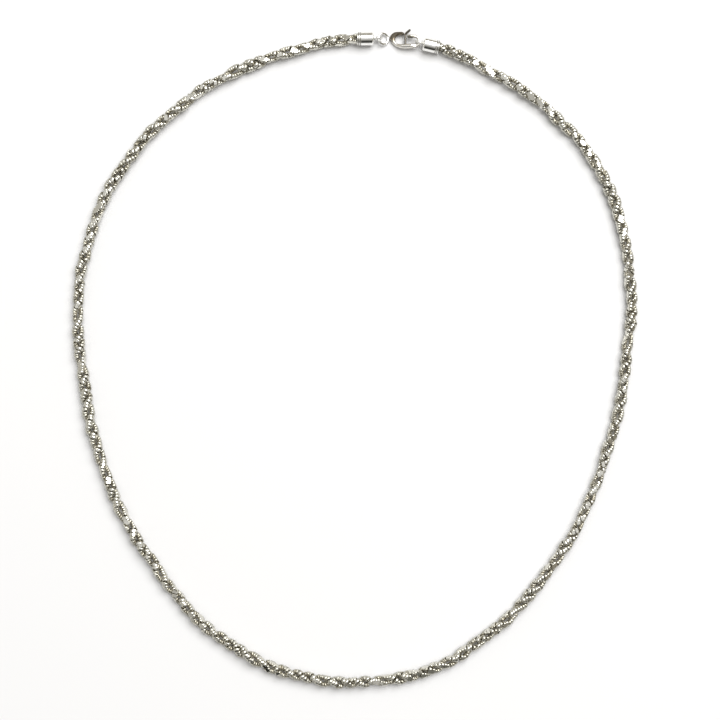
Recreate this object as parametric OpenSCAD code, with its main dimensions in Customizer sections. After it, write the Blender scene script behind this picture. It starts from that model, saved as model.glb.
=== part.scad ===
// Rope chain necklace, closed by a lobster clasp and laid flat in an open oval.
// Seen from above, X runs to the right and Y towards the clasp. Z is up from the surface it lies on.
// Every piece of the fastening is drawn along its own +X axis and set on the loop by arc length.

/* [Necklace] */
// Length round the closed loop, fastening included
necklace_l = 559; // [540:1:580]
// Outer diameter of the rope
chain_d = 3.15; // [2.9:0.05:3.4]
// Arc length from the first point of the route to the mouth of the left cap
fastening_start = 12.9; // [11:0.1:15]
// Length over which the rope rises to the axis of the caps
rise_l = 16; // [8:1:24]

/* [End caps] */
// Outside diameter of a cap
cap_d = 4.1; // [4:0.05:4.6]
// Length of the barrel, its grooved collar included
cap_l = 4.3; // [4:0.1:5]
// Radial gap between the rope and the bore of a cap
rope_gap = 0.1; // [0.05:0.01:0.15]
// Depth of the bore
socket_depth = 3.2; // [2.6:0.1:3.6]
// Space left between the end of the rope and the floor of the bore
rope_end_gap = 0.3; // [0.1:0.1:0.5]
// Distance from the mouth to the first groove
groove_start = 0.3; // [0.2:0.05:0.4]
// Width of a groove
groove_w = 0.22; // [0.15:0.01:0.3]
// Depth of a groove
groove_depth = 0.12; // [0.06:0.01:0.16]
// Distance from one groove to the next
groove_pitch = 0.5; // [0.4:0.05:0.6]
// Length of the rounded shoulder behind the barrel
shoulder_l = 0.7; // [0.5:0.05:1]
// Diameter of the neck that carries the eye
neck_d = 1.7; // [1.4:0.05:2]
// Wire diameter of the eye
eye_wire_d = 0.6; // [0.5:0.05:0.7]
// Hole diameter of the eye
eye_hole_d = 1.6; // [1.55:0.05:1.8]

/* [Jump ring] */
// Wire diameter of the jump ring
ring_wire_d = 0.75; // [0.6:0.05:0.8]
// Hole diameter of the jump ring
ring_hole_d = 2.4; // [2.3:0.05:2.7]
// Where the ring's wire hangs in the eye, measured down from the middle of the eye
ring_seat = 52; // [40:1:65]

/* [Clasp body] */
// Length from the nose to the tail
clasp_l = 9.3; // [9:0.1:9.6]
// Width across the claw
claw_w = 5; // [4.9:0.1:5.4]
// Radius of the two round corners over the claw
claw_r = 2.15; // [2:0.05:2.3]
// Straight length between them
claw_flat = 1.1; // [1:0.05:1.3]
// Radius of the long curve from the nose to the straight spine
belly_r = 5; // [4.6:0.1:5.6]
// Width across the tail loop
tail_w = 4; // [3.8:0.1:4.2]
// Thickness over the middle of the body
clasp_t = 2; // [1.8:0.1:2.4]
// Thickness of the nose, which rests on the surface
nose_t = 1; // [0.9:0.02:1.1]
// Thickness of the tail rim, where the eye bears
rim_t = 0.7; // [0.6:0.05:0.8]
// Width of metal at the nose
nose_w = 1.65; // [1.5:0.05:1.8]
// Width of metal over the top of the claw
claw_top_w = 1.05; // [0.9:0.05:1.2]
// Width of the straight spine
spine_w = 1.4; // [1.3:0.05:1.6]
// Width of metal round the tail loop
rim_w = 0.9; // [0.8:0.05:1]
// Distance from the nose to the end of the claw
claw_reach = 4.4; // [4.2:0.1:4.5]
// Length over which the body thickens behind the nose and in front of the tail
taper_l = 1.3; // [1:0.1:1.5]
// Turn of the clasp out of the line of the right cap
clasp_turn = 13; // [10:1:16]

/* [Clasp lever] */
// Thickness of the lever
lever_t = 0.9; // [0.7:0.05:1]
// Width of the blade that shuts the claw
blade_w = 0.55; // [0.45:0.05:0.6]
// Distance from the tail to the pivot
pivot_back = 2.7; // [2.5:0.05:2.9]
// Height of the pivot above the outside of the spine
pivot_up = 0.82; // [0.8:0.01:0.9]
// Diameter of the pivot pin
pin_d = 0.5; // [0.4:0.02:0.56]
// Radius of the lever's hub
hub_r = 0.48; // [0.44:0.01:0.5]
// Width of the leg inside the spine
leg_w = 0.6; // [0.5:0.05:0.7]
// Length of the thumb tab
tab_l = 2.1; // [1.8:0.1:2.4]
// Width of the thumb tab
tab_w = 0.65; // [0.55:0.05:0.75]
// Lean of the thumb tab from the blade towards the tail
tab_lean = 48; // [44:1:52]

/* [Clearances] */
// Gap where one link bears on another
link_gap = 0.1; // [0.08:0.01:0.12]
// Gap under what rests on the surface
rest_gap = 0.02; // [0.01:0.01:0.04]
// Gap between the jump ring and the nose beside it, along the loop
nose_gap = 0.15; // [0.1:0.05:0.3]
// Gap between the closed lever and the claw, and on each side of the lever in its slot
lever_gap = 0.08; // [0.06:0.01:0.1]
// Radial gap of the pin in the lever
pin_gap = 0.04; // [0.02:0.01:0.06]
// Radial gap of the pin in the body
pin_seat_gap = 0.02; // [0.01:0.01:0.03]

/* [Hidden] */
$fn = 64;

// The route is the centre line of the whole loop as it lies, clockwise from the top.
route = [
    [-12, 93.9], [-1, 95.6], [12.5, 95.35], [25, 93.15], [31.5, 90.5], [47.15, 82.25], [57.4, 74.7],
    [66.8, 65.2], [73.1, 55.7], [78.25, 44.1], [82, 21], [80.5, -1], [76.5, -22],
    [69.5, -42], [59, -60.5], [43, -78.5], [23, -91.5], [-1, -95.5], [-25, -91], [-45, -78],
    [-60, -60], [-71, -41], [-77.5, -22], [-81, -1], [-82, 21], [-76.5, 43], [-65, 63],
    [-47.2, 79.3], [-35.9, 85.65], [-25, 90]
];
span_steps = 10;
// The loop is turned into arc length by samples of a closed curve through the points of the route.
function route_point(i) = route[(i + len(route)) % len(route)];
function curve(a, b, c, d, t) =
    0.5 * (2 * b + (c - a) * t + (2 * a - 5 * b + 4 * c - d) * t * t + (3 * b - a - 3 * c + d) * t * t * t);
function samples() = [
    for (i = [0 : len(route) - 1], k = [0 : span_steps - 1])
        curve(route_point(i - 1), route_point(i), route_point(i + 1), route_point(i + 2), k / span_steps)
];
function distances(points) = [
    for (i = 0, total = 0; i <= len(points);
         total = total + norm(points[(i + 1) % len(points)] - points[i % len(points)]), i = i + 1)
        total
];
drawn = samples();
drawn_l = distances(drawn)[len(drawn)];
// The middle of the necklace's whole outline is the origin.
outline_middle = [-0.1, 0.8];
loop = [for (p = drawn) (p - outline_middle) * necklace_l / drawn_l];
arc = distances(loop);
loop_x = [for (i = [0 : len(loop)]) [arc[i], loop[i % len(loop)].x]];
loop_y = [for (i = [0 : len(loop)]) [arc[i], loop[i % len(loop)].y]];
function wrapped(s) = s < 0 ? s + necklace_l : s >= necklace_l ? s - necklace_l : s;
function at(s) = [lookup(wrapped(s), loop_x), lookup(wrapped(s), loop_y)];
heading_step = 2;
function along(s) = (at(s + heading_step) - at(s - heading_step)) / norm(at(s + heading_step) - at(s - heading_step));
function heading(s) = atan2(along(s).y, along(s).x);

// Both caps rest on their sides. Their eyes stand upright on the axis, and what hangs in them slopes
// down to the surface.
axis_z = cap_d / 2;
eye_mean_r = (eye_hole_d + eye_wire_d) / 2;
ring_mean_r = (ring_hole_d + ring_wire_d) / 2;
cap_eye_x = cap_l + shoulder_l + eye_mean_r;
left_mouth_s = fastening_start;

// The ring's wire hangs low in the left eye, and its far side lies on the surface.
ring_hang = eye_hole_d / 2 - ring_wire_d / 2 - link_gap;
ring_high = axis_z - ring_hang * sin(ring_seat);
ring_low = ring_wire_d / 2 + rest_gap;
ring_dip = asin((ring_high - ring_low) / (2 * ring_mean_r));
ring_x = cap_eye_x + ring_hang * cos(ring_seat) + ring_mean_r * cos(ring_dip);

// The clasp is drawn with its nose at x = 0 and the outside of its spine at y = 0. The right eye holds
// the inside of its tail rim, and the nose lies on the surface beside the ring.
tail_r = tail_w / 2;
claw_eye_top = claw_w - claw_top_w;
claw_eye_r = (claw_eye_top - spine_w) / 2;
nose_y = claw_w - claw_r;
tail_eye_r = tail_r - rim_w;
rim_bearing = [clasp_l - tail_r + tail_eye_r * cos(clasp_turn), tail_r - tail_eye_r * sin(clasp_turn)];
clasp_dip = asin((axis_z - nose_t / 2 - rest_gap) / rim_bearing.x);
nose_s = left_mouth_s + ring_x + ring_mean_r * cos(ring_dip) + ring_wire_d / 2 + nose_gap;
// The corners of the rim decide how far the eye reaches over it.
eye_reach = sqrt(pow(eye_hole_d / 2 - link_gap, 2) - pow(rim_t / 2 + link_gap, 2));
right_mouth_s = nose_s + rim_bearing.x * cos(clasp_dip) + eye_reach + cap_eye_x;

blade_x = claw_reach + lever_gap;
arm_x = blade_x + blade_w + 3 * lever_gap;
pivot_x = clasp_l - pivot_back;
slot_t = lever_t + 2 * lever_gap;
slot_end = pivot_x + hub_r + lever_gap;
slot_floor = pivot_up - hub_r - lever_gap;
blade_top = claw_eye_top + tab_w / 2;

// The rope is a tube of 8 sides, with a ring every 2 or 3 diameters. Its ends run straight in the bores.
rope_sides = 8;
rope_rings = 80;
rope_r = chain_d / 2;
rope_in = socket_depth - rope_end_gap;
rope_start_s = right_mouth_s - rope_in;
rope_l = necklace_l - (right_mouth_s - left_mouth_s) + 2 * rope_in;
rope_stations = [
    0,
    for (i = [0 : rope_rings - 3]) rope_in + (rope_l - 2 * rope_in) * i / (rope_rings - 3),
    rope_l
];
function eased(t) = t <= 0 ? 0 : t >= 1 ? 1 : t * t * (3 - 2 * t);
function rope_z(d) = rope_r + (axis_z - rope_r) * (1 - eased((min(d, rope_l - d) - rope_in) / rise_l));
function rope_ring(d) =
    let (s = rope_start_s + d, p = at(s), t = along(s))
    [
        for (k = [0 : rope_sides - 1])
            let (a = 360 * k / rope_sides)
            [p.x - t.y * rope_r * cos(a), p.y + t.x * rope_r * cos(a), rope_z(d) + rope_r * sin(a)]
    ];

module rope_chain() {
    points = [for (d = rope_stations) each rope_ring(d)];
    last = (rope_rings - 1) * rope_sides;
    sides = [
        for (i = [0 : rope_rings - 2], k = [0 : rope_sides - 1])
            let (a = i * rope_sides + k, b = i * rope_sides + (k + 1) % rope_sides)
            each [[a, b, b + rope_sides], [a, b + rope_sides, a + rope_sides]]
    ];
    ends = [
        [for (k = [rope_sides - 1 : -1 : 0]) k],
        [for (k = [0 : rope_sides - 1]) last + k]
    ];
    color([0.66, 0.65, 0.6])
        polyhedron(points = points, faces = concat(sides, ends));
}

module on_loop(s) {
    translate([at(s).x, at(s).y, axis_z])
        rotate([0, 0, heading(s)])
            children();
}

// A wire ring that stands on edge along X.
module upright_ring(hole_d, wire_d) {
    rotate([90, 0, 0])
        rotate_extrude()
            translate([(hole_d + wire_d) / 2, 0])
                circle(d = wire_d);
}

// Half section of a cap: radius first, then distance from the mouth.
function cap_section() =
    let (r = cap_d / 2, bore = chain_d / 2 + rope_gap, steps = 6)
    concat(
        [[bore, 0], [r, 0]],
        [
            for (i = [0 : 1])
                let (a = groove_start + i * groove_pitch, b = a + groove_w)
                each [[r, a], [r - groove_depth, a], [r - groove_depth, b], [r, b]]
        ],
        [
            for (i = [0 : steps])
                let (q = 90 * i / steps)
                [neck_d / 2 + (r - neck_d / 2) * cos(q), cap_l + shoulder_l * sin(q)]
        ],
        [[0, cap_l + shoulder_l], [0, socket_depth], [bore, socket_depth]]
    );

module end_cap() {
    color([0.88, 0.88, 0.87])
        union() {
            rotate([0, 90, 0])
                rotate_extrude()
                    polygon(cap_section());
            translate([cap_eye_x, 0, 0])
                upright_ring(eye_hole_d, eye_wire_d);
        }
}

// Each cap takes the rope's own direction, halfway along the stretch inside its bore. The ring lies in
// line with the left cap, and the clasp hangs in the right one.
module on_left_cap() {
    on_loop(left_mouth_s + rope_in / 2)
        translate([-rope_in / 2, 0, 0])
            children();
}

module on_right_cap() {
    on_loop(right_mouth_s - rope_in / 2)
        rotate([0, 0, 180])
            translate([-rope_in / 2, 0, 0])
                children();
}

module left_end_cap() {
    on_left_cap()
        end_cap();
}

module right_end_cap() {
    on_right_cap()
        end_cap();
}

module jump_ring() {
    color([0.88, 0.88, 0.87])
        on_left_cap()
            translate([ring_x, 0, (ring_high + ring_low) / 2 - axis_z])
                rotate([0, ring_dip, 0])
                    rotate_extrude()
                        translate([ring_mean_r, 0])
                            circle(d = ring_wire_d);
}

module on_clasp() {
    on_right_cap()
        translate([cap_eye_x + eye_reach, 0, 0])
            rotate([0, -clasp_dip, 180 + clasp_turn])
                translate([-rim_bearing.x, -rim_bearing.y, 0])
                    children();
}

// Outline of the body seen from above: a claw with a long round belly, a straight spine and a tail loop.
module clasp_outline() {
    belly_x = sqrt(pow(belly_r, 2) - pow(belly_r - nose_y, 2));
    difference() {
        union() {
            intersection() {
                union() {
                    for (x = [claw_r, claw_r + claw_flat])
                        translate([x, nose_y])
                            circle(r = claw_r);
                    translate([claw_r, 0])
                        square([claw_flat, claw_w]);
                }
                translate([0, nose_y])
                    square(2 * claw_w);
            }
            intersection() {
                translate([belly_x, belly_r])
                    circle(r = belly_r);
                square([belly_x, nose_y]);
            }
            translate([clasp_l - tail_r, tail_r])
                circle(r = tail_r);
            translate([belly_x, 0])
                square([clasp_l - tail_r - belly_x, spine_w]);
            translate([arm_x, 0])
                square([clasp_l - tail_r - arm_x, tail_w]);
        }
        // Eye of the claw, round behind the nose and open towards the lever
        translate([nose_w + claw_eye_r, spine_w + claw_eye_r])
            circle(r = claw_eye_r);
        translate([nose_w + claw_eye_r, spine_w])
            square([arm_x - nose_w - claw_eye_r, 2 * claw_eye_r]);
        // Gate between the end of the claw and the arm of the tail
        translate([claw_reach, spine_w])
            square([arm_x - claw_reach, claw_w]);
        // Eye of the tail, round at the back, flat along the spine and open towards the lever
        intersection() {
            union() {
                translate([clasp_l - tail_r, tail_r])
                    circle(r = tail_eye_r);
                translate([claw_reach, 0])
                    square([clasp_l - tail_r - claw_reach, tail_w - rim_w]);
            }
            translate([claw_reach, spine_w])
                square([clasp_l, tail_w]);
        }
    }
}

// Outline of the body seen from the side: thin at the nose and at the tail rim.
module clasp_side() {
    bearing = nose_w + ring_wire_d;
    back = clasp_l - rim_w - eye_wire_d;
    // The outline runs on past both ends of the body.
    past = nose_w;
    polygon([
        [-past, -nose_t / 2], [bearing, -nose_t / 2], [bearing + taper_l, -clasp_t / 2],
        [back - taper_l, -clasp_t / 2], [back, -rim_t / 2], [clasp_l + past, -rim_t / 2],
        [clasp_l + past, rim_t / 2], [back, rim_t / 2], [back - taper_l, clasp_t / 2],
        [bearing + taper_l, clasp_t / 2], [bearing, nose_t / 2], [-past, nose_t / 2]
    ]);
}

module clasp_body() {
    color([0.85, 0.84, 0.82])
        on_clasp()
            difference() {
                intersection() {
                    translate([0, 0, -clasp_t])
                        linear_extrude(2 * clasp_t)
                            clasp_outline();
                    translate([0, 2 * claw_w, 0])
                        rotate([90, 0, 0])
                            linear_extrude(3 * claw_w)
                                clasp_side();
                }
                // Slot for the lever, open at the top
                translate([claw_reach - lever_gap, slot_floor, -slot_t / 2])
                    cube([slot_end - claw_reach + lever_gap, 2 * claw_w, slot_t]);
                // Bore for the pivot pin
                translate([pivot_x, pivot_up, -clasp_t])
                    cylinder(h = 2 * clasp_t, r = pin_d / 2 + pin_seat_gap);
            }
}

// Outline of the lever: a hub, a leg along the spine, a blade across the gate and a thumb tab.
module lever_outline() {
    translate([pivot_x, pivot_up])
        circle(r = hub_r);
    translate([blade_x, pivot_up - leg_w / 2])
        square([pivot_x - blade_x, leg_w]);
    translate([blade_x, pivot_up - leg_w / 2])
        square([blade_w, blade_top - pivot_up + leg_w / 2]);
    translate([blade_x + blade_w / 2, blade_top])
        rotate(90 - tab_lean) {
            translate([0, -tab_w / 2])
                square([tab_l - tab_w / 2, tab_w]);
            circle(d = tab_w);
            translate([tab_l - tab_w / 2, 0])
                circle(d = tab_w);
        }
}

module clasp_lever() {
    color([0.8, 0.79, 0.77])
        on_clasp()
            difference() {
                translate([0, 0, -lever_t / 2])
                    linear_extrude(lever_t)
                        lever_outline();
                translate([pivot_x, pivot_up, -clasp_t])
                    cylinder(h = 2 * clasp_t, r = pin_d / 2 + pin_gap);
            }
}

module clasp_pin() {
    color([0.7, 0.69, 0.67])
        on_clasp()
            translate([pivot_x, pivot_up, -clasp_t / 2])
                cylinder(h = clasp_t, d = pin_d);
}

rope_chain();
left_end_cap();
right_end_cap();
jump_ring();
clasp_body();
clasp_lever();
clasp_pin();
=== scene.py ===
"""Looks of the rope chain necklace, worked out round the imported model.

Lengths are in millimetres and turn into metres where a surface is put into its mesh.
Every surface is a grid of points computed as one array, and the sizes repeat the model's own.
"""

import bmesh
import bpy
import numpy as np
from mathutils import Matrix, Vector


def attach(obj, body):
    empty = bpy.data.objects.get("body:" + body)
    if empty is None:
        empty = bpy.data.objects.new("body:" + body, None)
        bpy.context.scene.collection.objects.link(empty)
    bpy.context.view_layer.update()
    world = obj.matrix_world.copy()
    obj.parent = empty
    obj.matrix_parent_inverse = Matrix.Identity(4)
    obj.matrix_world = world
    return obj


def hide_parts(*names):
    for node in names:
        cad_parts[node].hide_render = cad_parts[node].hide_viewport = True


MM = 0.001

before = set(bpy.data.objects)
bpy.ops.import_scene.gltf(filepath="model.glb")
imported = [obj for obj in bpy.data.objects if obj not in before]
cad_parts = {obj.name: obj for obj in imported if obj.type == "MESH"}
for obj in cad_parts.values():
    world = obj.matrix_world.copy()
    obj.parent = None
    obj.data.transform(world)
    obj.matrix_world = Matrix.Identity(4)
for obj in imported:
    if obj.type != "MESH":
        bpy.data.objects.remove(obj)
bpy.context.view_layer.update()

# The loop: its length, where on it the left cap's mouth is, the length in which the rope rises to a cap,
# and the thickness that the rope has in the model
NECKLACE_L = 559
FASTENING_START = 12.9
RISE_L = 16
CHAIN_D = 3.15

# The end caps. CAP_LIP rounds the barrel's mouth, and a small flat closes its back behind the shoulder.
CAP_D = 4.1
CAP_L = 4.3
CAP_LIP = 0.14
CAP_BACK_L = 0.02
CAP_BACK_R = 0.51
CAP_ROWS = (7, 90, 16)
ROPE_GAP = 0.1
SOCKET_DEPTH = 3.2
ROPE_END_GAP = 0.3
GROOVE_START = 0.3
GROOVE_W = 0.22
GROOVE_DEPTH = 0.12
GROOVE_PITCH = 0.5
GROOVES = 2
# How wide a groove's round bottom spreads, as a share of its width, and the shares of its depth painted as
# shade
GROOVE_SPREAD = 0.62
GROOVE_SHADE_DEPTHS = (0.4, 1.2)
SHOULDER_L = 0.7
NECK_D = 1.7
EYE_WIRE_D = 0.6
EYE_HOLE_D = 1.6

# The jump ring, and where round the eye's hole it hangs, in degrees below the middle
RING_WIRE_D = 0.75
RING_HOLE_D = 2.4
RING_SEAT = 52

# The clasp: its body
CLASP_L = 9.3
CLAW_W = 5
CLAW_R = 2.15
CLAW_FLAT = 1.1
BELLY_R = 5
TAIL_W = 4
CLASP_T = 2
NOSE_T = 1
RIM_T = 0.7
NOSE_W = 1.65
CLAW_TOP_W = 1.05
SPINE_W = 1.4
RIM_W = 0.9
CLAW_REACH = 4.4
TAPER_L = 1.3
CLASP_TURN = 13
# The clasp: its lever, which is a leg, a blade and a thumb tab beyond a knee, and its pin
LEVER_T = 0.9
BLADE_W = 0.55
PIVOT_BACK = 2.7
PIVOT_UP = 0.82
PIN_D = 0.5
HUB_R = 0.48
LEG_W = 0.6
TAB_L = 2.1
TAB_W = 0.65
TAB_LEAN = 48
KNEE_R = 0.5
# The leg begins within the hub, at this share of the hub's radius, and narrows to the blade between these
# distances
LEG_FROM = 0.8
LEG_TO_BLADE = (1.4, 2.0)
LEVER_ROWS = 90
# Rounding of the ends of the lever and of the body, and the dome of the pin's ends
LEVER_END_R = 0.02
BODY_END_R = 0.25
PIN_DOME = 0.03
# How square the sections are: 1 is an ellipse, 0 a rectangle
BODY_ROUNDNESS = 0.8
LEVER_ROUNDNESS = 0.7
HUB_ROUNDNESS = (0.5, 0.35)
# Edges of the carved body that are steeper than this, in degrees, stay sharp
SHARP_FROM = 40

# Gaps
LINK_GAP = 0.1
REST_GAP = 0.02
NOSE_GAP = 0.15
LEVER_GAP = 0.08
PIN_GAP = 0.04
PIN_SEAT_GAP = 0.02

# The route of the whole loop, clockwise from the top: the points of the model's own route
ROUTE = np.array([
    [-12, 93.9], [-1, 95.6], [12.5, 95.35], [25, 93.15], [31.5, 90.5], [47.15, 82.25], [57.4, 74.7],
    [66.8, 65.2], [73.1, 55.7], [78.25, 44.1], [82, 21], [80.5, -1], [76.5, -22], [69.5, -42], [59, -60.5],
    [43, -78.5], [23, -91.5], [-1, -95.5], [-25, -91], [-45, -78], [-60, -60], [-71, -41], [-77.5, -22],
    [-81, -1], [-82, 21], [-76.5, 43], [-65, 63], [-47.2, 79.3], [-35.9, 85.65], [-25, 90],
])
OUTLINE_MIDDLE = np.array([-0.1, 0.8])
# Points drawn between two points of the route, and the steps over which the loop's direction and the rope's
# slope are taken
SPAN_STEPS = 40
HEADING_STEP = 2
SLOPE_STEP = 0.1
# Points closer than this, in metres, are one point
MERGE_WITHIN = 1e-7

# The rope: one link after another, each turned half a turn and a little more than the last. It grows to its
# full thickness between FULL_FROM outside a cap's mouth and FULL_WITHIN further on.
LINKS_IN_TWIST = 24
TWIST_L = 8.6
LOBE_R = 1.82
SHARE_IN_CAPS = 0.9
FULL_FROM = 1.2
FULL_WITHIN = 2.5
# A link: the thickness of its wire outwards and across, how far its middle is from the rope's axis, how many
# times as wide as high it is, and in degrees how it leans and how much that and its turn differ from link
# to link
LINK_WIRE_OUT = 0.56
LINK_WIRE_ACROSS = 1.05
LINK_OUT = 1.04
LINK_WIDTH = 1.25
LINK_LEAN = 44
LINK_JITTER = 12.0
LINK_SEEDS = (11, 12)
# The cut flats: how many round the rope, and their distance from its axis. The axis lies REST_RISE above a
# lobe's radius, because the lobes are uneven.
FLATS = 4
FLAT_IN_R = 1.56
REST_RISE = 0.1
# How the flats are turned about the rope: distances along it, with degrees from its outward side
FLAT_TURNS = np.array([(0, 88), (104, 88), (250, 78), (400, 86), (541, 88)])
# Unevenness along the rope: how much, over what distance it may turn round, and the seed of its random
# values. The twist and the flats' turn are in degrees, the line in mm, the thickness and the cuts in shares.
TWIST_WANDER, TWIST_STEP, TWIST_SEED = 65, 7.5, 3
FLAT_WANDER, FLAT_STEP, FLAT_SEED = 28, 9.0, 8
LINE_WANDER, LINE_STEP, LINE_SEED = 0.3, 6.5, 4
SIZE_WANDER, SIZE_STEP, SIZE_SEED = 0.06, 5.5, 6
CUT_WANDER, CUT_STEP, CUT_SEED = 0.2, 5.0, 5
# A point counts as cut when a flat moves it in to less than this share of its distance from the axis
CUT_BELOW = 0.999

# Where each piece of the fastening sits
AXIS_Z = CAP_D / 2
ROPE_R = CHAIN_D / 2
ROPE_IN = SOCKET_DEPTH - ROPE_END_GAP
EYE_MEAN_R = (EYE_HOLE_D + EYE_WIRE_D) / 2
RING_MEAN_R = (RING_HOLE_D + RING_WIRE_D) / 2
CAP_EYE_X = CAP_L + SHOULDER_L + EYE_MEAN_R
LEFT_MOUTH_S = FASTENING_START
RING_HANG = EYE_HOLE_D / 2 - RING_WIRE_D / 2 - LINK_GAP
RING_HIGH = AXIS_Z - RING_HANG * np.sin(np.radians(RING_SEAT))
RING_LOW = RING_WIRE_D / 2 + REST_GAP
RING_DIP = np.arcsin((RING_HIGH - RING_LOW) / (2 * RING_MEAN_R))
RING_X = CAP_EYE_X + RING_HANG * np.cos(np.radians(RING_SEAT)) + RING_MEAN_R * np.cos(RING_DIP)
TAIL_R = TAIL_W / 2
TAIL_EYE_R = TAIL_R - RIM_W
CLAW_EYE_TOP = CLAW_W - CLAW_TOP_W
CLAW_EYE_R = (CLAW_EYE_TOP - SPINE_W) / 2
NOSE_Y = CLAW_W - CLAW_R
BELLY_X = (BELLY_R ** 2 - (BELLY_R - NOSE_Y) ** 2) ** 0.5
TURN = np.radians(CLASP_TURN)
RIM_BEARING = np.array([CLASP_L - TAIL_R + TAIL_EYE_R * np.cos(TURN), TAIL_R - TAIL_EYE_R * np.sin(TURN)])
CLASP_DIP = np.arcsin((AXIS_Z - NOSE_T / 2 - REST_GAP) / RIM_BEARING[0])
NOSE_S = LEFT_MOUTH_S + RING_X + RING_MEAN_R * np.cos(RING_DIP) + RING_WIRE_D / 2 + NOSE_GAP
EYE_REACH = ((EYE_HOLE_D / 2 - LINK_GAP) ** 2 - (RIM_T / 2 + LINK_GAP) ** 2) ** 0.5
RIGHT_MOUTH_S = NOSE_S + RIM_BEARING[0] * np.cos(CLASP_DIP) + EYE_REACH + CAP_EYE_X
ROPE_START_S = RIGHT_MOUTH_S - ROPE_IN
ROPE_L = NECKLACE_L - (RIGHT_MOUTH_S - LEFT_MOUTH_S) + 2 * ROPE_IN
BLADE_X = CLAW_REACH + LEVER_GAP
ARM_X = BLADE_X + BLADE_W + 3 * LEVER_GAP
PIVOT = np.array([CLASP_L - PIVOT_BACK, PIVOT_UP])
BLADE_TOP = CLAW_EYE_TOP + TAB_W / 2


def unit(v):
    """Each vector divided by its own length."""
    return v / np.linalg.norm(v, axis=-1, keepdims=True)


def loop_table():
    """The closed Catmull-Rom curve through the route, at the necklace's length, with its arc lengths."""
    a, b, c, d = (np.roll(ROUTE, 1 - k, axis=0)[:, None] for k in range(4))
    t = np.linspace(0, 1, SPAN_STEPS, endpoint=False)[None, :, None]
    cubic = 3 * b - a - 3 * c + d
    drawn = 0.5 * (2 * b + (c - a) * t + (2 * a - 5 * b + 4 * c - d) * t ** 2 + cubic * t ** 3)
    drawn = drawn.reshape(-1, 2)
    drawn = np.vstack([drawn, drawn[:1]])
    arc = np.concatenate([[0], np.cumsum(np.linalg.norm(np.diff(drawn, axis=0), axis=1))])
    scale = NECKLACE_L / arc[-1]
    return (drawn - OUTLINE_MIDDLE) * scale, arc * scale


LOOP, ARC = loop_table()


def at(s):
    """The point of the loop at arc length s."""
    s = np.mod(s, NECKLACE_L)
    return np.stack([np.interp(s, ARC, LOOP[:, 0]), np.interp(s, ARC, LOOP[:, 1])], axis=-1)


def along(s):
    """The direction of travel at arc length s: the chord across a step either way."""
    return unit(at(s + HEADING_STEP) - at(s - HEADING_STEP))


def turned_about(points, axis, angle):
    """Points turned about one of the axes X, Y or Z, numbered 0, 1 and 2."""
    points = np.asarray(points, float)
    first, second = (axis + 1) % 3, (axis + 2) % 3
    moved = points.copy()
    moved[..., first] = points[..., first] * np.cos(angle) - points[..., second] * np.sin(angle)
    moved[..., second] = points[..., first] * np.sin(angle) + points[..., second] * np.cos(angle)
    return moved


def on_loop(points, s):
    """Points drawn along +X, turned into the loop's direction and set on it at arc length s."""
    t = along(s)
    return turned_about(points, 2, np.arctan2(t[1], t[0])) + np.array([*at(s), AXIS_Z])


def on_left_cap(points):
    """Points drawn from the mouth of the left cap along its axis, set in its place."""
    return on_loop(points - np.array([ROPE_IN / 2, 0, 0]), LEFT_MOUTH_S + ROPE_IN / 2)


def on_right_cap(points):
    """Points drawn from the mouth of the right cap along its axis, set in its place."""
    facing = turned_about(points - np.array([ROPE_IN / 2, 0, 0]), 2, np.pi)
    return on_loop(facing, RIGHT_MOUTH_S - ROPE_IN / 2)


def on_clasp(points):
    """Points of the clasp, hung in the right cap's eye.

    They are drawn with the clasp's nose at x = 0 and the outside of its spine at y = 0.
    """
    hung = turned_about(np.asarray(points, float) - np.array([*RIM_BEARING, 0]), 1, -CLASP_DIP)
    return on_right_cap(turned_about(hung, 2, np.pi + TURN) + np.array([CAP_EYE_X + EYE_REACH, 0, 0]))


def grid_faces(rows, columns, round_rows=False):
    """The four corners of every face of a grid whose columns close to a ring, and its rows too if asked."""
    i = np.arange(rows if round_rows else rows - 1)[:, None]
    k = np.arange(columns)[None, :]
    j, m = (i + 1) % rows, (k + 1) % columns
    corners = [i * columns + k, i * columns + m, j * columns + m, j * columns + k]
    return np.stack(corners, axis=-1).reshape(-1, 4)


def joined(*parts):
    """Several (points, faces) put together as one."""
    points, faces, count = [], [], 0
    for grid, corners in parts:
        flat = np.asarray(grid, float).reshape(-1, 3)
        points.append(flat)
        faces.append(np.asarray(corners) + count)
        count += len(flat)
    return np.vstack(points), np.vstack(faces)


def clean(mesh):
    """Equal points merged, so that poles are closed, and all faces turned outwards."""
    work = bmesh.new()
    work.from_mesh(mesh)
    bmesh.ops.remove_doubles(work, verts=work.verts, dist=MERGE_WITHIN)
    bmesh.ops.recalc_face_normals(work, faces=work.faces)
    work.to_mesh(mesh)
    work.free()


def object_of(name, points, faces, cleaned=True):
    """A mesh object made of points in millimetres and faces."""
    mesh = bpy.data.meshes.new(name)
    mesh.from_pydata((np.asarray(points).reshape(-1, 3) * MM).tolist(), [], np.asarray(faces).tolist())
    if cleaned:
        clean(mesh)
    made = bpy.data.objects.new(name, mesh)
    bpy.context.scene.collection.objects.link(made)
    return made


def put(name, points, faces, material, body, node=None, cleaned=True):
    """A smooth piece of the necklace that rides on a body and may replace a node of the model."""
    piece = object_of(name, points, faces, cleaned)
    piece.data.shade_smooth()
    piece.data.materials.append(material)
    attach(piece, body)
    if node:
        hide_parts(node)
    return piece


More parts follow.
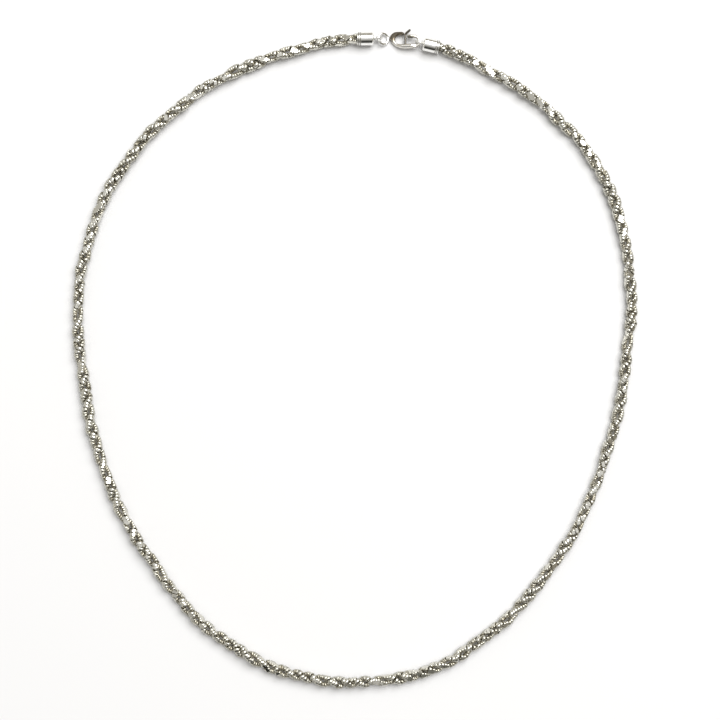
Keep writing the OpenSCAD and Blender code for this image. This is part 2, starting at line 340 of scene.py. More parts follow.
# Silver looks: bright and dull colour, roughness where polished and where dull, fineness of the marks, bump
POLISHED = ((0.90, 0.90, 0.88), (0.84, 0.83, 0.80), 0.06, 0.16, 900.0, 0.2)
CAST = ((0.86, 0.84, 0.80), (0.76, 0.73, 0.67), 0.10, 0.24, 1200.0, 0.35)
# Painted shade: the darker silver inside the caps' grooves
PAINTED_GROOVE_SHADE = ((0.30, 0.29, 0.26), (0.18, 0.17, 0.14), 0.3, 0.4, 900.0, 0.2)
# The lever's silver is painted darker than the rest: a painted dark reflection
LEVER_PAINTED_REFLECTION = ((0.13, 0.12, 0.10), (0.085, 0.075, 0.06), 0.14, 0.28, 1200.0, 0.35)
# Scratches: how they are drawn out along X, Y and Z, and their height in mm
SCRATCH_STRETCH = (0.25, 3.0, 3.0)
SCRATCH_HEIGHT = 0.02
# Values of the smear between which the colour, the gloss and the rope's wire change
SMEAR_COLOUR = (0.35, 0.6)
SMEAR_GLOSS = (0.35, 0.7)
SMEAR_WIRE = (0.35, 0.65)

# Painted dark reflection inside the claw and painted shade inside the tail loop of the clasp: its middle, the
# distances from it at which it begins to fade and has gone, and its colour
CLAW_PAINTED_REFLECTION_AT = (2.0, 5.0, 0.3)
CLAW_PAINTED_REFLECTION = (2.6, 3.9, (0.17, 0.145, 0.11))
TAIL_PAINTED_SHADE_AT = (6.4, 3.7, 0.3)
TAIL_PAINTED_SHADE = (0.9, 2.4, (0.36, 0.34, 0.29))

# The rope's wire, from its outer side inwards and painted darker further in as shade between the links,
# with how much the smears make it lighter or darker, and its cut flats
WIRE_COLOURS_AND_PAINTED_SHADE = [(0.1, (0.585, 0.575, 0.515)), (0.55, (0.44, 0.415, 0.34))]
WIRE_UNEVEN = (-0.15, 0.3)
WIRE_ROUGHNESS = 0.34
WIRE_MARKS = 350.0
CUT_COLOUR = (0.70, 0.685, 0.62)
CUT_ROUGHNESS = 0.1


def feed(tree, socket, value):
    """An input takes what another socket gives, or a fixed value."""
    if isinstance(value, bpy.types.NodeSocket):
        tree.links.new(value, socket)
    else:
        socket.default_value = value


def node_of(tree, kind, **inputs):
    """A shader node with its inputs fed by their names, in which _ stands for a space."""
    made = tree.nodes.new(kind)
    for key, value in inputs.items():
        feed(tree, made.inputs[key.replace("_", " ")], value)
    return made


def colour_mix(tree, factor, first, second, kind="MIX"):
    """The mix of two colours, each a socket or a fixed colour."""
    mix = tree.nodes.new("ShaderNodeMix")
    mix.data_type = "RGBA"
    mix.blend_type = kind
    for key, value in (("Factor", factor), ("A", first), ("B", second)):
        feed(tree, mix.inputs[key], value)
    return mix.outputs["Result"]


def ramp_of(tree, value, stops):
    """A colour ramp on a value. Stops are shares from 0 to 1, or degrees from 90 to -90, with colours."""
    ramp = node_of(tree, "ShaderNodeValToRGB", Fac=value)
    made = ramp.color_ramp.elements
    in_degrees = abs(stops[0][0]) > 1
    for i, (where, colour) in enumerate(stops):
        share = (90 - where) / 180 if in_degrees else where
        stop = made[i] if i < 2 else made.new(share)
        stop.position = share
        stop.color = (*colour, 1)
    return ramp.outputs["Color"]


def handling_group():
    """Fine scratches and smears: a mask that varies slowly, and a fine height for bump."""
    group = bpy.data.node_groups.new("fine_handling_marks", "ShaderNodeTree")
    face = group.interface
    face.new_socket("Vector", in_out="INPUT", socket_type="NodeSocketVector")
    face.new_socket("Scale", in_out="INPUT", socket_type="NodeSocketFloat")
    face.new_socket("Smear", in_out="OUTPUT", socket_type="NodeSocketFloat")
    face.new_socket("Scratch", in_out="OUTPUT", socket_type="NodeSocketFloat")
    start = group.nodes.new("NodeGroupInput")
    place, scale = start.outputs["Vector"], start.outputs["Scale"]
    stretched = node_of(group, "ShaderNodeMapping", Vector=place, Scale=SCRATCH_STRETCH).outputs["Vector"]
    smear = node_of(group, "ShaderNodeTexNoise", Vector=place, Scale=scale, Detail=3.0, Roughness=0.6)
    scratch = node_of(group, "ShaderNodeTexNoise", Vector=stretched, Scale=scale, Detail=2.0, Roughness=0.7)
    node_of(group, "NodeGroupOutput", Smear=smear.outputs["Fac"], Scratch=scratch.outputs["Fac"])
    return group


MARKS = handling_group()


def new_metal(name):
    """A new metal with its node tree and its shader."""
    material = bpy.data.materials.new(name)
    material.use_nodes = True
    shader = material.node_tree.nodes["Principled BSDF"]
    shader.inputs["Metallic"].default_value = 1.0
    return material, material.node_tree, shader


def marks_in(tree, fineness):
    """The smear and the scratch of the handling marks, laid on the object's own coordinates."""
    place = tree.nodes.new("ShaderNodeTexCoord")
    marks = tree.nodes.new("ShaderNodeGroup")
    marks.node_tree = MARKS
    feed(tree, marks.inputs["Vector"], place.outputs["Object"])
    feed(tree, marks.inputs["Scale"], fineness)
    return marks.outputs["Smear"], marks.outputs["Scratch"]


def mapped(tree, value, start, end, low, high):
    """A value turned evenly from the span between start and end into the one between low and high."""
    limits = {"From_Min": start, "From_Max": end, "To_Min": low, "To_Max": high}
    return node_of(tree, "ShaderNodeMapRange", Value=value, **limits).outputs["Result"]


def silver(name, bright, dull, smooth, rough, fineness, bump):
    """Polished silver: colour and gloss follow slow smears, and fine scratches lift the surface a little."""
    material, tree, shader = new_metal(name)
    smear, scratch = marks_in(tree, fineness)
    lift = node_of(tree, "ShaderNodeBump", Strength=bump, Distance=SCRATCH_HEIGHT * MM, Height=scratch)
    feed(tree, shader.inputs["Base Color"], ramp_of(tree, smear, list(zip(SMEAR_COLOUR, (dull, bright)))))
    feed(tree, shader.inputs["Roughness"], mapped(tree, smear, *SMEAR_GLOSS, rough, smooth))
    feed(tree, shader.inputs["Normal"], lift.outputs["Normal"])
    return material


def paint_shade_round(material, point, near, far, colour):
    """Painted shade: the material's colour turns into another round a point, wholly up to near, none past
    far.
    """
    tree = material.node_tree
    base = tree.nodes["Principled BSDF"].inputs["Base Color"]
    place = tree.nodes.new("ShaderNodeTexCoord")
    away = tree.nodes.new("ShaderNodeVectorMath")
    away.operation = "DISTANCE"
    feed(tree, away.inputs[0], place.outputs["Object"])
    feed(tree, away.inputs[1], tuple(np.asarray(point) * MM))
    share = mapped(tree, away.outputs["Value"], near * MM, far * MM, 1.0, 0.0)
    feed(tree, base, colour_mix(tree, share, base.links[0].from_socket, (*colour, 1)))


def rope_silver():
    """Rope silver: mirror-bright on the cut flats, softer on the wire, painted shade deep between the links.
    """
    material, tree, shader = new_metal("rope_silver")
    cut, depth = tree.nodes.new("ShaderNodeAttribute"), tree.nodes.new("ShaderNodeAttribute")
    cut.attribute_name, depth.attribute_name = "cut", "depth"
    smear = marks_in(tree, WIRE_MARKS)[0]
    deeper = tree.nodes.new("ShaderNodeMath")
    feed(tree, deeper.inputs[0], depth.outputs["Fac"])
    feed(tree, deeper.inputs[1], mapped(tree, smear, *SMEAR_WIRE, *WIRE_UNEVEN))
    # The wire's colour darkens with depth: painted shade between the links
    wire = ramp_of(tree, deeper.outputs["Value"], WIRE_COLOURS_AND_PAINTED_SHADE)
    feed(tree, shader.inputs["Base Color"], colour_mix(tree, cut.outputs["Fac"], wire, (*CUT_COLOUR, 1)))
    roughness = mapped(tree, cut.outputs["Fac"], 0.0, 1.0, WIRE_ROUGHNESS, CUT_ROUGHNESS)
    feed(tree, shader.inputs["Roughness"], roughness)
    return material


def rope_z(d):
    """Height of the rope's axis, d along it: its lobes lie on the surface, and its ends rise to the caps."""
    t = np.clip((np.minimum(d, ROPE_L - d) - ROPE_IN) / RISE_L, 0, 1)
    low = LOBE_R + REST_RISE
    return low + (AXIS_Z - low) * (1 - t * t * (3 - 2 * t))


def wander(d, step, seed):
    """A smooth random value from -1 to 1 along the rope, that may turn round every step."""
    knots = np.random.default_rng(seed).uniform(-1, 1, int(ROPE_L / step) + 2)
    i = (d / step).astype(int)
    t = d / step - i
    t = t * t * (3 - 2 * t)
    return knots[i] * (1 - t) + knots[i + 1] * t


def rope_section(d):
    """Centre, direction of travel, outward and upward side of the rope, d along it."""
    s = ROPE_START_S + d
    centre = np.concatenate([at(s), rope_z(d)[..., None]], axis=-1)
    slope = (rope_z(d + SLOPE_STEP) - rope_z(d - SLOPE_STEP)) / (2 * SLOPE_STEP)
    flat = along(s)
    travel = unit(np.concatenate([flat, slope[..., None]], axis=-1))
    outward = np.stack([-flat[..., 1], flat[..., 0], np.zeros(len(flat))], axis=-1)
    return centre, travel, outward, np.cross(travel, outward)


# Section of a link's wire: how far out and how far across, as shares of its half sizes. Its outside is flat.
WIRE_OUT = np.array([1.0, 1.0, 0.0, -1.0, 0.0])
WIRE_ACROSS = np.array([-0.75, 0.75, 1.0, 0.0, -1.0])
# Angles round a link at which its wire has a ring of points, close together on the outer half
LINK_ANGLES = np.radians([-110, -80, -54, -30, -10, 10, 30, 54, 80, 110, 155, 205])


def link_strand(first, seed):
    """Points of every second link, whether each is cut, and how deep it lies as a share of the rope's radius.

    The middle of a link lies LINK_OUT from the rope's axis, on the side to which the twist has turned.
    Its ring is spanned by that side and by a direction that leans LINK_LEAN from the rope's own, and is
    LINK_WIDTH times as wide that way. Both the side and the lean differ by LINK_JITTER from link to link,
    and the twist, the line and the thickness wander along the rope. The rope is SHARE_IN_CAPS as thick near
    the caps as elsewhere. Last, points outside one of the FLATS planes round the rope are moved in towards
    the axis, onto it. The planes turn about the rope by FLAT_TURNS, and wander as well.
    """
    random = np.random.default_rng(seed)
    spacing = TWIST_L / LINKS_IN_TWIST
    mean_r = LOBE_R - LINK_OUT - LINK_WIRE_OUT / 2
    count = int((ROPE_L - 2 * mean_r) / spacing)
    number = np.arange(first, count, 2)
    d = mean_r + spacing * number
    centre, travel, outward, upward = rope_section(d)
    from_cap = np.clip((np.minimum(d, ROPE_L - d) - ROPE_IN - FULL_FROM) / FULL_WITHIN, 0, 1)
    centre = centre + (LINE_WANDER * from_cap * wander(d, LINE_STEP, LINE_SEED))[:, None] * outward
    turn = number * (np.pi + 2 * np.pi / LINKS_IN_TWIST)
    turn = turn + np.radians(LINK_JITTER) * random.normal(size=len(d))
    turn = turn + np.radians(TWIST_WANDER) * wander(d, TWIST_STEP, TWIST_SEED)
    side = np.cos(turn)[:, None] * outward + np.sin(turn)[:, None] * upward
    across = np.cross(travel, side)
    lean = np.radians(LINK_LEAN + LINK_JITTER * random.normal(size=len(d)))[:, None]
    forth = np.cos(lean) * travel - np.sin(lean) * across
    normal = np.cross(side, forth)
    middle = centre + LINK_OUT * side

    a = LINK_ANGLES[None, :, None, None]
    radius = mean_r + LINK_WIRE_OUT / 2 * WIRE_OUT[None, None, :, None]
    width = LINK_WIRE_ACROSS / 2 * WIRE_ACROSS[None, None, :, None]
    radial = np.cos(a) * side[:, None, None] + LINK_WIDTH * np.sin(a) * forth[:, None, None]
    points = middle[:, None, None] + radius * radial + width * normal[:, None, None]

    grown = SHARE_IN_CAPS + (1 - SHARE_IN_CAPS + SIZE_WANDER * wander(d, SIZE_STEP, SIZE_SEED)) * from_cap
    grown = grown[:, None, None]
    off = (points - centre[:, None, None]) * grown[..., None]
    points = centre[:, None, None] + off
    y = (off * outward[:, None, None]).sum(-1)
    z = (off * upward[:, None, None]).sum(-1)
    x = (off * travel[:, None, None]).sum(-1)
    r = np.hypot(y, z)
    step = 2 * np.pi / FLATS
    drift = np.radians(np.interp(d[:, None, None] + x, FLAT_TURNS[:, 0], FLAT_TURNS[:, 1]))
    drift = drift + np.radians(FLAT_WANDER) * wander(d, FLAT_STEP, FLAT_SEED)[:, None, None]
    beside = np.mod(np.arctan2(z, y) - drift + step / 2, step) - step / 2
    depth_of_cut = (1 + CUT_WANDER * wander(d, CUT_STEP, CUT_SEED))[:, None, None]
    limit = grown * FLAT_IN_R * depth_of_cut / np.cos(beside)
    shrink = np.minimum(1, limit / r)
    moved = (shrink - 1)[..., None]
    points = points + moved * (y[..., None] * outward[:, None, None] + z[..., None] * upward[:, None, None])
    points[..., 2] = np.maximum(points[..., 2], 0)
    cut = shrink < CUT_BELOW
    depth = np.clip(1 - np.minimum(r, limit) / LOBE_R, 0, 1)
    return points, cut, depth


def rope_strand(name, first, seed, material, node=None):
    """One strand of the rope as a joined mesh of closed links, flat-shaded where it is cut."""
    points, cut, depth = link_strand(first, seed)
    links, rings, sides = cut.shape
    faces = grid_faces(rings, sides, round_rows=True)
    faces = (np.arange(links)[:, None, None] * rings * sides + faces[None]).reshape(-1, 4)
    piece = put(name, points, faces, material, "necklace", node, cleaned=False)
    mesh = piece.data
    flat = cut.reshape(-1)[faces].all(axis=1)
    mesh.polygons.foreach_set("use_smooth", ~flat)
    for key, values in (("cut", cut), ("depth", depth)):
        attribute = mesh.attributes.new(key, "FLOAT", "POINT")
        attribute.data.foreach_set("value", values.reshape(-1).astype(np.float32))


def turned(profile, steps=96):
    """A surface of revolution about X: profile rows are distance along X and radius."""
    a = np.linspace(0, 2 * np.pi, steps, endpoint=False)
    x, r = profile[:, 0][:, None], profile[:, 1][:, None]
    points = np.stack([x + 0 * a, r * np.cos(a), r * np.sin(a)], axis=-1)
    return points, grid_faces(len(profile), steps)


def wire_ring(mean_r, wire_r, steps=96, sides=24):
    """A round wire closed to a ring in the XY plane."""
    a = np.linspace(0, 2 * np.pi, steps, endpoint=False)[:, None]
    b = np.linspace(0, 2 * np.pi, sides, endpoint=False)[None, :]
    r = mean_r + wire_r * np.cos(b)
    points = np.stack([r * np.cos(a), r * np.sin(a), wire_r * np.sin(b) + 0 * a], axis=-1)
    return points, grid_faces(steps, sides, round_rows=True)


def cap_profile():
    """A cap's outline from the bottom of its socket round the mouth to the back: distance along and radius.

    The mouth is rounded, the collar has round-bottomed grooves, and a quarter of an ellipse is the shoulder.
    """
    r = CAP_D / 2
    bore = CHAIN_D / 2 + ROPE_GAP
    lip_rows, barrel_rows, shoulder_rows = CAP_ROWS
    a = np.linspace(0, np.pi / 2, lip_rows)
    mouth = np.stack([CAP_LIP * (1 - np.sin(a)), r - CAP_LIP + CAP_LIP * np.cos(a)], axis=-1)[::-1]
    x = np.linspace(CAP_LIP, CAP_L, barrel_rows)[1:]
    dip = np.zeros(len(x))
    for i in range(GROOVES):
        middle = GROOVE_START + GROOVE_W / 2 + i * GROOVE_PITCH
        dip = dip + np.exp(-(((x - middle) / (GROOVE_SPREAD * GROOVE_W)) ** 4))
    barrel = np.stack([x, r - GROOVE_DEPTH * dip], axis=-1)
    q = np.linspace(0, np.pi / 2, shoulder_rows)[1:]
    shoulder = np.stack([CAP_L + SHOULDER_L * np.sin(q), NECK_D / 2 + (r - NECK_D / 2) * np.cos(q)], axis=-1)
    end = CAP_L + SHOULDER_L + CAP_BACK_L
    back = np.array([[end, CAP_BACK_R], [end, 0]])
    inside = np.array([[SOCKET_DEPTH, 0], [SOCKET_DEPTH, bore], [CAP_LIP / 2, bore], [0, bore + CAP_LIP / 2]])
    return np.vstack([inside, mouth, barrel, shoulder, back])


def end_cap():
    """A cap along +X with its mouth at x = 0, its soldered eye standing on edge behind the shoulder."""
    barrel, barrel_faces = turned(cap_profile())
    eye, eye_faces = wire_ring(EYE_MEAN_R, EYE_WIRE_D / 2)
    upright = np.stack([eye[..., 0] + CAP_EYE_X, eye[..., 2], eye[..., 1]], axis=-1)
    return joined((barrel, barrel_faces), (upright, eye_faces))


def paint_shade_in_grooves(cap, place, material):
    """The faces inside the grooves of a cap's collar take a second, darker material: painted shade."""
    mesh = cap.data
    mesh.materials.append(material)
    centres = np.empty(3 * len(mesh.polygons))
    mesh.polygons.foreach_get("center", centres)
    mouth, ahead = place(np.zeros(3)), place(np.array([1.0, 0, 0]))
    off = centres.reshape(-1, 3) / MM - mouth
    x = off @ (ahead - mouth)
    r = np.linalg.norm(off - x[:, None] * (ahead - mouth), axis=1)
    outer, inner = (CAP_D / 2 - share * GROOVE_DEPTH for share in GROOVE_SHADE_DEPTHS)
    inside = (r < outer) & (r > inner) & (x > GROOVE_START / 2) & (x < GROOVE_START + GROOVES * GROOVE_PITCH)
    mesh.polygons.foreach_set("material_index", inside.astype(np.int32))


def make_caps(material, groove_shade_material):
    """Both end caps, each in its place, with painted shade in their grooves."""
    points, faces = end_cap()
    for name, node, place in (
        ("left_cap_polished", "left_end_cap", on_left_cap),
        ("right_cap_polished", "right_end_cap", on_right_cap),
    ):
        cap = put(name, place(points), faces, material, "necklace", node)
        paint_shade_in_grooves(cap, place, groove_shade_material)


def make_jump_ring(material):
    """The jump ring, hung in the left cap's eye and sloping down to the surface."""
    points, faces = wire_ring(RING_MEAN_R, RING_WIRE_D / 2, steps=128)
    hung = turned_about(points, 1, RING_DIP) + np.array([RING_X, 0, (RING_HIGH + RING_LOW) / 2 - AXIS_Z])
    put("jump_ring_wire", on_left_cap(hung), faces, material, "necklace", "jump_ring")


def line(start, end):
    """A straight stretch of an outline, as a function of a share from 0 to 1."""
    start, end = np.array(start, float), np.array(end, float)
    return np.linalg.norm(end - start), lambda t: start + (end - start) * t[:, None]


def arc(centre, radius, first, last):
    """A round stretch of an outline between two angles in degrees."""
    first, last = np.radians(first), np.radians(last)

    def points(t):
        a = first + (last - first) * t
        return np.array(centre, float) + radius * np.stack([np.cos(a), np.sin(a)], axis=-1)

    return radius * abs(last - first), points


def stretch(parts, count):
    """Points spaced evenly over a run of lines and arcs, the last end left out."""
    lengths = np.array([length for length, _ in parts])
    ends = np.concatenate([[0], np.cumsum(lengths)])
    where = np.linspace(0, ends[-1], count, endpoint=False)
    found = np.zeros((count, 2))
    for i, (length, points) in enumerate(parts):
        here = (where >= ends[i]) & (where < ends[i + 1])
        found[here] = points((where[here] - ends[i]) / length)
    return found


def clasp_outlines():
    """The body's outer and inner edge from the claw's end round the nose, along the spine and round the tail.

    Both edges have as many points, matched stretch by stretch, so that a pair of points spans the metal.
    """
    tip_angle = np.degrees(np.arccos((CLAW_REACH - CLAW_R - CLAW_FLAT) / CLAW_R))
    nose = (CLAW_R, NOSE_Y)
    belly = (BELLY_X, BELLY_R)
    belly_angle = np.degrees(np.arctan2(NOSE_Y - BELLY_R, -BELLY_X))
    eye = (NOSE_W + CLAW_EYE_R, SPINE_W + CLAW_EYE_R)
    tail = (CLASP_L - TAIL_R, TAIL_R)
    dip = np.degrees(np.arcsin((TAIL_R - SPINE_W) / TAIL_EYE_R))
    tail_low = tail[0] + TAIL_EYE_R * np.cos(np.radians(dip))
    tip = (CLAW_R + CLAW_FLAT, NOSE_Y)
    outer = [
        [arc(tip, CLAW_R, tip_angle, 90), line((tip[0], CLAW_W), (eye[0], CLAW_W))],
        [line((eye[0], CLAW_W), (CLAW_R, CLAW_W)), arc(nose, CLAW_R, 90, 180)],
        [arc(belly, BELLY_R, belly_angle + 360, 270)],
        [line((BELLY_X, 0), (tail[0], 0))],
        [arc(tail, TAIL_R, -90, -dip)],
        [arc(tail, TAIL_R, -dip, 90)],
        [line((tail[0], TAIL_W), (ARM_X, TAIL_W))],
    ]
    inner = [
        [line((CLAW_REACH, CLAW_EYE_TOP), (eye[0], CLAW_EYE_TOP))],
        [arc(eye, CLAW_EYE_R, 90, 180)],
        [arc(eye, CLAW_EYE_R, 180, 270), line((eye[0], SPINE_W), (BELLY_X, SPINE_W))],
        [line((BELLY_X, SPINE_W), (tail[0], SPINE_W))],
        [line((tail[0], SPINE_W), (tail_low, SPINE_W))],
        [arc(tail, TAIL_EYE_R, -dip, 90)],
        [line((tail[0], TAIL_W - RIM_W), (ARM_X, TAIL_W - RIM_W))],
    ]
    counts = (24, 32, 44, 20, 10, 30, 24)
    last = [np.array([[ARM_X, TAIL_W]]), np.array([[ARM_X, TAIL_W - RIM_W]])]
    return [
        np.vstack([*(stretch(parts, n) for parts, n in zip(side, counts)), end])
        for side, end in zip((outer, inner), last)
    ]


def half_thickness(x):
    """Half the body's thickness along its length: thin at the nose and at the tail rim, full between."""
    bearing = NOSE_W + RING_WIRE_D
    back = CLASP_L - RIM_W - EYE_WIRE_D
    places = [bearing, bearing + TAPER_L, back - TAPER_L, back]
    return np.interp(x, places, [NOSE_T / 2, CLASP_T / 2, CLASP_T / 2, RIM_T / 2])


def rounded_bar(outer, inner, half, round_start, round_end, power, sides):
    """A bar between two edges: its sections are superellipses, and each end rounds off over a length."""
    middle, reach = (outer + inner) / 2, (outer - inner) / 2
    s = np.concatenate([[0], np.cumsum(np.linalg.norm(np.diff(middle, axis=0), axis=1))])
    from_start = np.clip(s / round_start, 0, 1)
    from_end = np.clip((s[-1] - s) / round_end, 0, 1)
    size = np.sqrt(1 - (1 - from_start) ** 2) * np.sqrt(1 - (1 - from_end) ** 2)
    a = np.linspace(0, 2 * np.pi, sides, endpoint=False)[None, :, None]
    c = np.sign(np.cos(a)) * np.abs(np.cos(a)) ** power
    b = np.sign(np.sin(a)) * np.abs(np.sin(a)) ** power
    flat = middle[:, None] + reach[:, None] * size[:, None, None] * c
    high = (half * size)[:, None, None] * b
    return np.concatenate([flat, high], axis=-1), grid_faces(len(outer), sides)


def box_points(low, high):
    """The corners and faces of a box between two corners."""
    xs, ys, zs = zip(low, high)
    corners = np.array([[x, y, z] for x in xs for y in ys for z in zs])
    faces = [[0, 1, 3, 2], [4, 6, 7, 5], [0, 4, 5, 1], [2, 3, 7, 6], [0, 2, 6, 4], [1, 5, 7, 3]]
    return corners, np.array(faces)


# A pin's end, from its middle to its side: shares of the radius, and how far beyond its half length in domes
PIN_END_R = np.array([0, 0.5, 0.85, 1])
PIN_END_Z = np.array([1, 0.8, 0.3, -1])


def upright_pin(radius, half, dome=0.0, steps=48):
    """A pin along Z about the clasp's pivot, with slightly domed ends."""
    r = radius * np.concatenate([PIN_END_R, PIN_END_R[::-1]])
    end = half + dome * PIN_END_Z
    z = np.concatenate([-end, end[::-1]])
    a = np.linspace(0, 2 * np.pi, steps, endpoint=False)
    points = np.stack([
        PIVOT[0] + r[:, None] * np.cos(a),
        PIVOT[1] + r[:, None] * np.sin(a),
        z[:, None] + 0 * a,
    ], axis=-1)
    return points, grid_faces(len(r), steps)


def carve(piece, points, faces):
    """The piece with a closed shape taken out of it, as a finished mesh."""
    cutter = object_of("cutter", points, faces)
    taken = piece.modifiers.new("cut", "BOOLEAN")
    taken.operation = "DIFFERENCE"
    taken.solver = "EXACT"
    taken.object = cutter
    graph = bpy.context.evaluated_depsgraph_get()
    done = bpy.data.meshes.new_from_object(piece.evaluated_get(graph))
    piece.modifiers.clear()
    old = piece.data
    piece.data = done
    bpy.data.meshes.remove(old)
    bpy.data.objects.remove(cutter)


def make_clasp_body(material):
    """The clasp's cast body, with the lever's slot and the pin's bore taken out of it."""
    outer, inner = clasp_outlines()
    half = half_thickness(outer[:, 0] / 2 + inner[:, 0] / 2)
    points, faces = rounded_bar(outer, inner, half, BODY_END_R, BODY_END_R, BODY_ROUNDNESS, sides=32)
    body = put("clasp_cast_body", on_clasp(points), faces, material, "necklace", "clasp_body")
    slot_half = LEVER_T / 2 + LEVER_GAP
    slot_low = (CLAW_REACH - LEVER_GAP, PIVOT_UP - HUB_R - LEVER_GAP, -slot_half)
    slot_high = (PIVOT[0] + HUB_R + LEVER_GAP, 2 * CLAW_W, slot_half)
    corners, sides = box_points(slot_low, slot_high)
    carve(body, on_clasp(corners), sides)
    bore, bore_faces = upright_pin(PIN_D / 2 + PIN_SEAT_GAP, CLASP_T)
    carve(body, on_clasp(bore), bore_faces)
    body.data.set_sharp_from_angle(angle=np.radians(SHARP_FROM))


def lever_bar():
    """The lever's leg, blade and thumb tab: one bar along a bent path, as wide as each of them."""
    lean = np.radians(90 - TAB_LEAN)
    ahead = np.array([np.cos(lean), np.sin(lean)])
    blade_middle = BLADE_X + BLADE_W / 2
    blade_end = np.array([blade_middle, BLADE_TOP])
    bend = LEG_W / 2
    knee = KNEE_R * np.tan((np.pi / 2 - lean) / 2)
    path = stretch([
        line((PIVOT[0] - LEG_FROM * HUB_R, PIVOT_UP), (blade_middle + bend, PIVOT_UP)),
        arc((blade_middle + bend, PIVOT_UP + bend), bend, 270, 180),
        line((blade_middle, PIVOT_UP + bend), (blade_middle, BLADE_TOP - knee)),
        arc((blade_middle + KNEE_R, BLADE_TOP - knee), KNEE_R, 180, 90 + np.degrees(lean)),
        line(blade_end + knee * ahead, blade_end + TAB_L * ahead),
    ], LEVER_ROWS)
    step = unit(np.gradient(path, axis=0))
    beside = np.stack([-step[:, 1], step[:, 0]], axis=-1)
    s = np.concatenate([[0], np.cumsum(np.linalg.norm(np.diff(path, axis=0), axis=1))])
    bends = [*LEG_TO_BLADE, s[-1] - TAB_L - knee, s[-1] - TAB_L + knee]
    width = np.interp(s, bends, [LEG_W / 2, BLADE_W / 2, BLADE_W / 2, TAB_W / 2])
    outer, inner = path + beside * width[:, None], path - beside * width[:, None]
    half = np.full(len(path), LEVER_T / 2)
    return rounded_bar(outer, inner, half, LEVER_END_R, TAB_W / 2, LEVER_ROUNDNESS, sides=28)


def lever_hub(steps=48):
    """The ring of the lever round its pin: a rectangle with rounded corners, turned about the pivot."""
    inner_r = PIN_D / 2 + PIN_GAP
    middle, reach = (HUB_R + inner_r) / 2, (HUB_R - inner_r) / 2
    b = np.linspace(0, 2 * np.pi, 20, endpoint=False)
    r = middle + reach * np.sign(np.cos(b)) * np.abs(np.cos(b)) ** HUB_ROUNDNESS[0]
    z = LEVER_T / 2 * np.sign(np.sin(b)) * np.abs(np.sin(b)) ** HUB_ROUNDNESS[1]
    a = np.linspace(0, 2 * np.pi, steps, endpoint=False)[:, None]
    points = np.stack([PIVOT[0] + r * np.cos(a), PIVOT[1] + r * np.sin(a), z + 0 * a], axis=-1)
    return points, grid_faces(steps, len(b), round_rows=True)


def make_lever(material):
    """The clasp's lever: the one piece that moves."""
    points, faces = joined(lever_bar(), lever_hub())
    put("clasp_lever_polished", on_clasp(points), faces, material, "lever", "clasp_lever")


def make_pin(material):
    """The rivet that the lever turns on."""
    points, faces = upright_pin(PIN_D / 2, CLASP_T / 2 - PIN_DOME, dome=PIN_DOME)
    put("clasp_rivet", on_clasp(points), faces, material, "necklace", "clasp_pin")


# Surroundings: degrees from the zenith towards the clasp's side (+) or the opposite one (-), with colours
WORLD_ACROSS = [
    (90, (0.50, 0.46, 0.38)), (62, (0.38, 0.35, 0.29)), (42, (0.95, 0.94, 0.91)), (15, (1, 1, 1)),
    (-8, (1, 1, 1)), (-22, (0.70, 0.69, 0.67)), (-36, (0.34, 0.33, 0.31)), (-48, (0.18, 0.18, 0.16)),
    (-60, (0.03, 0.03, 0.03)), (-78, (0.04, 0.04, 0.03)), (-88, (0.6, 0.6, 0.58)),
]
# The same from the left horizon to the right one, over the X of a direction: 0 is the left one, 1 the right
WORLD_SIDES = [
    (0, (1, 1, 1)), (0.05, (0.70, 0.68, 0.62)), (0.2, (0.72, 0.70, 0.65)), (0.3, (1, 1, 1)),
    (0.64, (1, 1, 1)), (0.78, (0.45, 0.42, 0.36)), (0.92, (0.30, 0.27, 0.21)), (0.98, (0.8, 0.8, 0.78)),
]
# How much the surroundings follow the first ramp, over the same: only the middle does
WORLD_MIDDLE = [(0.18, (0, 0, 0)), (0.31, (1, 1, 1)), (0.66, (1, 1, 1)), (0.82, (0, 0, 0))]
WORLD_STRENGTH = 0.85
# What the camera itself sees behind the floor: a plain pale backdrop
BACKDROP = (0.86, 0.86, 0.87)
# The surface: half its width in metres, its colour and its roughness
FLOOR_HALF = 3.0
FLOOR_COLOUR = (0.685, 0.685, 0.69)
FLOOR_ROUGHNESS = 0.8
# The one lamp: its place and its size in metres, and its power in watts
KEY_AT = (0.55, 0.78, 1.55)
KEY_SIZE = 1.45
KEY_POWER = 45
# The photograph looks straight down on this point, in millimetres, and is this wide
VIEW_CENTRE = (1.67, -0.54)
VIEW_W = 213.6
VIEW_LENS = 85
SENSOR_W = 36
# Nearest and farthest that the camera sees, in metres
VIEW_DEPTHS = (0.01, 20)


def make_floor():
    """The plain white surface that the necklace lies on."""
    mesh = bpy.data.meshes.new("white_surface")
    corners = [(x * FLOOR_HALF, y * FLOOR_HALF, 0) for x, y in ((-1, -1), (1, -1), (1, 1), (-1, 1))]
    mesh.from_pydata(corners, [], [(0, 1, 2, 3)])
    floor = bpy.data.objects.new("white_surface", mesh)
    bpy.context.scene.collection.objects.link(floor)
    material = bpy.data.materials.new("white_surface")
    material.use_nodes = True
    shader = material.node_tree.nodes["Principled BSDF"]
    shader.inputs["Base Color"].default_value = (*FLOOR_COLOUR, 1)
    shader.inputs["Roughness"].default_value = FLOOR_ROUGHNESS
    mesh.materials.append(material)


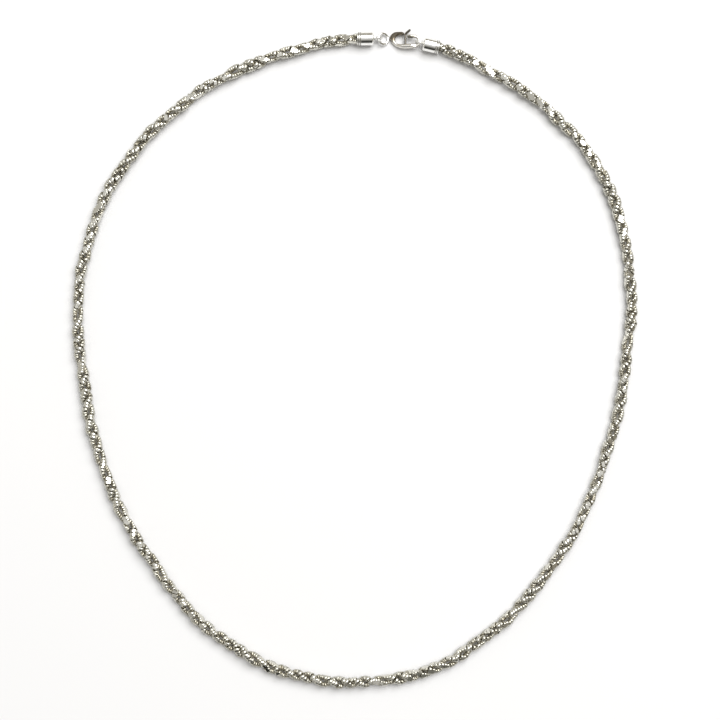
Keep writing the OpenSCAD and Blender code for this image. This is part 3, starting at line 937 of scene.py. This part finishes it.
def make_world():
    """Surroundings that the silver mirrors: pale overhead, dark away from the clasp, and warm grey low down.

    The first ramp runs over the angle from the horizon behind the clasp, across the zenith, to the opposite
    horizon, and holds in the middle only. The second, which multiplies it, runs from the left horizon to the
    right one. The camera itself sees the plain backdrop instead.
    """
    world = bpy.data.worlds.new("pale_room")
    bpy.context.scene.world = world
    world.use_nodes = True
    tree = world.node_tree
    back = tree.nodes["Background"]
    place = tree.nodes.new("ShaderNodeTexCoord")
    split = node_of(tree, "ShaderNodeSeparateXYZ", Vector=place.outputs["Generated"])
    tilt = tree.nodes.new("ShaderNodeMath")
    tilt.operation = "ARCTAN2"
    feed(tree, tilt.inputs[0], split.outputs["Y"])
    feed(tree, tilt.inputs[1], split.outputs["Z"])
    lengthwise = mapped(tree, tilt.outputs["Value"], np.pi / 2, -np.pi / 2, 0.0, 1.0)
    sideways = mapped(tree, split.outputs["X"], -1.0, 1.0, 0.0, 1.0)
    across = ramp_of(tree, lengthwise, WORLD_ACROSS)
    across = colour_mix(tree, ramp_of(tree, sideways, WORLD_MIDDLE), (1, 1, 1, 1), across)
    both = colour_mix(tree, 1.0, across, ramp_of(tree, sideways, WORLD_SIDES), "MULTIPLY")
    ray = tree.nodes.new("ShaderNodeLightPath")
    feed(tree, back.inputs["Color"], colour_mix(tree, ray.outputs["Is Camera Ray"], both, (*BACKDROP, 1)))
    back.inputs["Strength"].default_value = WORLD_STRENGTH


def soft_light(name, place, size, power):
    """A square soft light that faces the middle of the necklace."""
    data = bpy.data.lights.new(name, "AREA")
    data.shape = "SQUARE"
    data.size = size
    data.energy = power
    lamp = bpy.data.objects.new(name, data)
    lamp.location = place
    lamp.rotation_euler = (-Vector(place)).to_track_quat("-Z", "Y").to_euler()
    bpy.context.scene.collection.objects.link(lamp)


def make_camera():
    """The camera, as far above the rope as its lens needs for the photograph's width."""
    data = bpy.data.cameras.new("camera")
    data.lens = VIEW_LENS
    data.sensor_width = SENSOR_W
    data.clip_start, data.clip_end = VIEW_DEPTHS
    camera = bpy.data.objects.new("camera", data)
    height = VIEW_W * VIEW_LENS / SENSOR_W + ROPE_R
    camera.location = (VIEW_CENTRE[0] * MM, VIEW_CENTRE[1] * MM, height * MM)
    bpy.context.scene.collection.objects.link(camera)
    bpy.context.scene.camera = camera


rope = rope_silver()
polished = silver("polished_silver", *POLISHED)
cast = silver("clasp_silver", *CAST)
grooves = silver("groove_silver_painted_shade", *PAINTED_GROOVE_SHADE)
# Painted dark reflection on the lever
darker = silver("lever_silver_painted_reflection", *LEVER_PAINTED_REFLECTION)
body_silver = silver("clasp_body_silver_painted_shade", *CAST)
# Painted dark reflection round the claw and painted shade inside the tail loop, on the clasp body's silver
paint_shade_round(body_silver, on_clasp(CLAW_PAINTED_REFLECTION_AT), *CLAW_PAINTED_REFLECTION)
paint_shade_round(body_silver, on_clasp(TAIL_PAINTED_SHADE_AT), *TAIL_PAINTED_SHADE)
rope_strand("rope_links_odd", 0, LINK_SEEDS[0], rope, "rope_chain")
rope_strand("rope_links_even", 1, LINK_SEEDS[1], rope)
make_caps(polished, grooves)
make_jump_ring(polished)
make_clasp_body(body_silver)
make_lever(darker)
make_pin(cast)
make_floor()
make_world()
soft_light("key_from_upper_right", KEY_AT, KEY_SIZE, KEY_POWER)
make_camera()
bpy.context.scene.view_settings.view_transform = "Standard"
